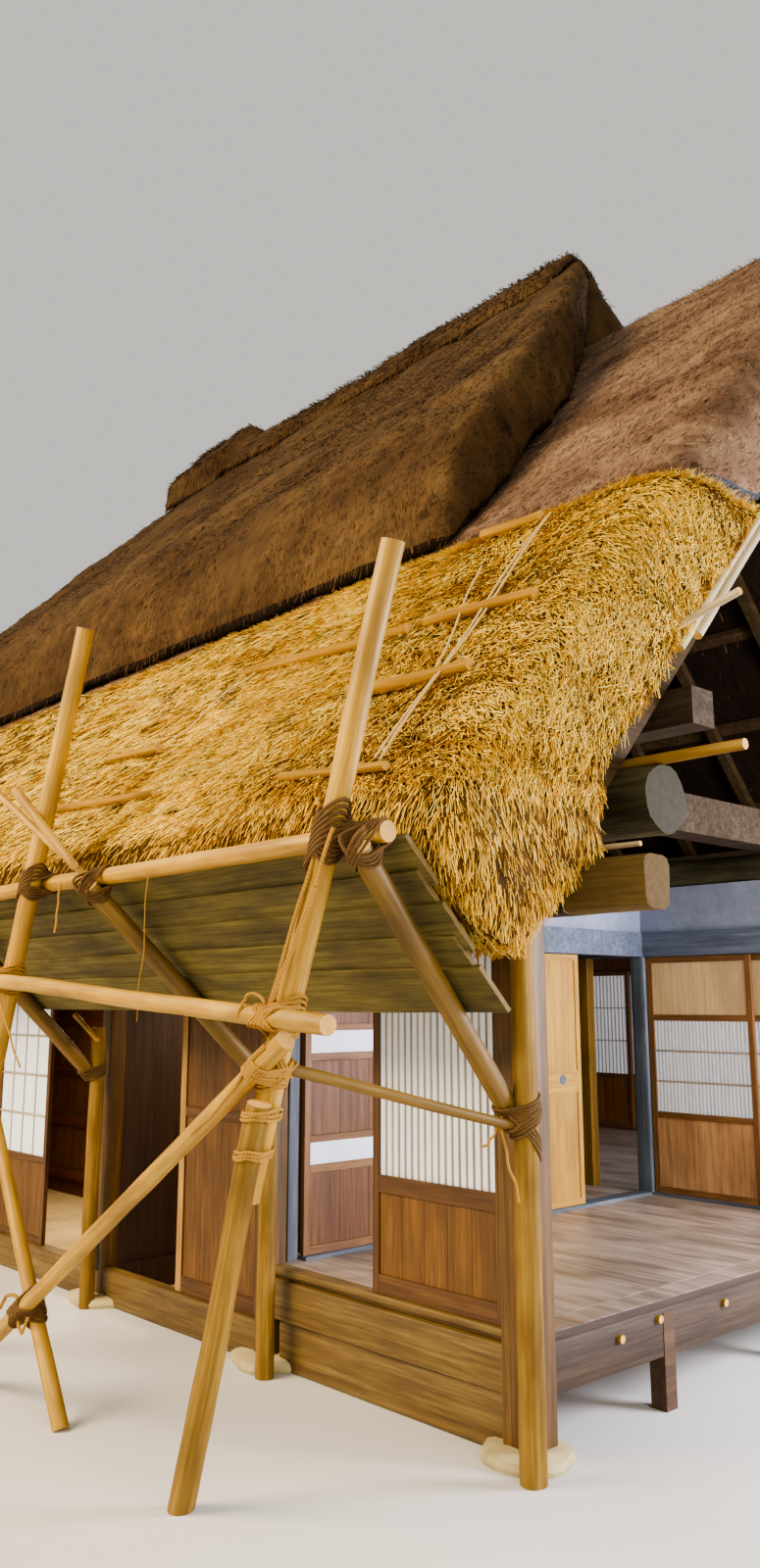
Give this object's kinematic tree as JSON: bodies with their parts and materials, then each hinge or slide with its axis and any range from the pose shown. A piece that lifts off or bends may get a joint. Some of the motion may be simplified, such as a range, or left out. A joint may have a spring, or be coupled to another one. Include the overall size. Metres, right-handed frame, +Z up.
{
  "type": "minka farmhouse with its thatch being renewed",
  "caption": "Timber farmhouse with a steep thatched roof half renewed, sliding doors, its right end cut open, and a lashed log scaffold along the front.",
  "frame": {"origin": "foot of the front right corner post, on the ground", "axes": "+X along the front wall to the right seen from the front, +Y into the house, +Z up"},
  "size_m": [12.9539, 9.7252, 8.9861],
  "materials": {
    "post_wood": "planed, smoke-darkened",
    "aged_wood": "grey-blue aged",
    "sill_wood": "worn, satin",
    "door_boards": "oiled red-brown",
    "wall_boards": "matte dark boards",
    "floor_boards": "worn satin",
    "beam_wood": "smoke-blackened",
    "log_wood": "hewn, smoke-blackened",
    "roof_poles": "barked poles",
    "screen_paper": "matte translucent",
    "white_plaster": "trowelled matte",
    "beaten_earth": "matte sandy",
    "new_thatch": "fresh golden reed",
    "worn_thatch": "worn reed",
    "old_thatch": "old dark red-brown reed",
    "scaffold_logs": "peeled pale logs",
    "scaffold_planks": "weathered sawn planks"
  },
  "bodies": {
    "house": {"corner_post": "post_wood", "front_post_1": "post_wood", "front_post_2": "post_wood", "partition_post": "aged_wood", "room_corner_post": "aged_wood", "cut_end_post": "aged_wood", "partition_jamb": "aged_wood", "earth_floor": "beaten_earth", "front_room_floor": "floor_boards", "back_room_floor": "floor_boards", "floor_frame": "sill_wood", "kickboard": "sill_wood", "sill_beam": "sill_wood", "front_threshold": "sill_wood", "front_sill_2": "sill_wood", "front_sill_3": "sill_wood", "front_wall_left": "wall_boards", "front_plate": "beam_wood", "back_wall": "wall_boards", "back_shoji": "screen_paper", "left_wall": "wall_boards", "room_lintel": "aged_wood", "plaster_band": "white_plaster", "passage_wall": "wall_boards", "doma_back_wall": "wall_boards", "doma_side_wall": "wall_boards", "tie_beam_2": "beam_wood", "tie_beam_4": "beam_wood", "front_log": "log_wood", "middle_log": "log_wood", "back_log": "log_wood", "purlin_frame": "beam_wood", "ridge_pole": "roof_poles", "roof_frame_front": "roof_poles", "roof_frame_back": "roof_poles", "roof_frame_left": "roof_poles", "thatch_new": "new_thatch", "thatch_worn": "worn_thatch", "thatch_old": "old_thatch", "thatch_back": "old_thatch", "thatch_left": "old_thatch", "ridge_cap": "old_thatch", "scaffold_bracket_1": "scaffold_logs", "scaffold_bracket_2": "scaffold_logs", "scaffold_bracket_3": "scaffold_logs", "scaffold_ledger": "scaffold_logs", "scaffold_boards": "scaffold_planks", "scaffold_outer_pole_1": "scaffold_logs", "scaffold_outer_pole_2": "scaffold_logs", "scaffold_rail": "scaffold_logs", "scaffold_cross": "scaffold_logs", "scaffold_transom": "scaffold_logs"},
    "front_shoji": {"front_shoji": "screen_paper"},
    "front_board_door": {"front_board_door": "door_boards"},
    "front_white_door": {"front_white_door": "screen_paper"},
    "stripe_door_front": {"stripe_door_front": "door_boards"},
    "stripe_door_rear": {"stripe_door_rear": "door_boards"},
    "pull_door": {"pull_door": "door_boards"},
    "obi_shoji_left": {"obi_shoji_left": "door_boards"},
    "obi_shoji_right": {"obi_shoji_right": "door_boards"}
  },
  "joints": [
    {"name": "front_shoji_slide", "type": "slide", "parent": "house", "child": "front_shoji", "axis": [-1, 0, 0], "range_m": [0, 0.79]},
    {"name": "front_board_door_slide", "type": "slide", "parent": "house", "child": "front_board_door", "axis": [-1, 0, 0], "range_m": [0, 0.81]},
    {"name": "front_white_door_slide", "type": "slide", "parent": "house", "child": "front_white_door", "axis": [1, 0, 0], "range_m": [0, 0.815]},
    {"name": "stripe_door_front_slide", "type": "slide", "parent": "house", "child": "stripe_door_front", "axis": [0, 1, 0], "range_m": [0, 0.745]},
    {"name": "stripe_door_rear_slide", "type": "slide", "parent": "house", "child": "stripe_door_rear", "axis": [0, -1, 0], "range_m": [0, 0.745]},
    {"name": "pull_door_slide", "type": "slide", "parent": "house", "child": "pull_door", "axis": [0, 1, 0], "range_m": [0, 0.775]},
    {"name": "obi_shoji_left_slide", "type": "slide", "parent": "house", "child": "obi_shoji_left", "axis": [1, 0, 0], "range_m": [0, 0.775]},
    {"name": "obi_shoji_right_slide", "type": "slide", "parent": "house", "child": "obi_shoji_right", "axis": [-1, 0, 0], "range_m": [0, 0.775]}
  ]
}
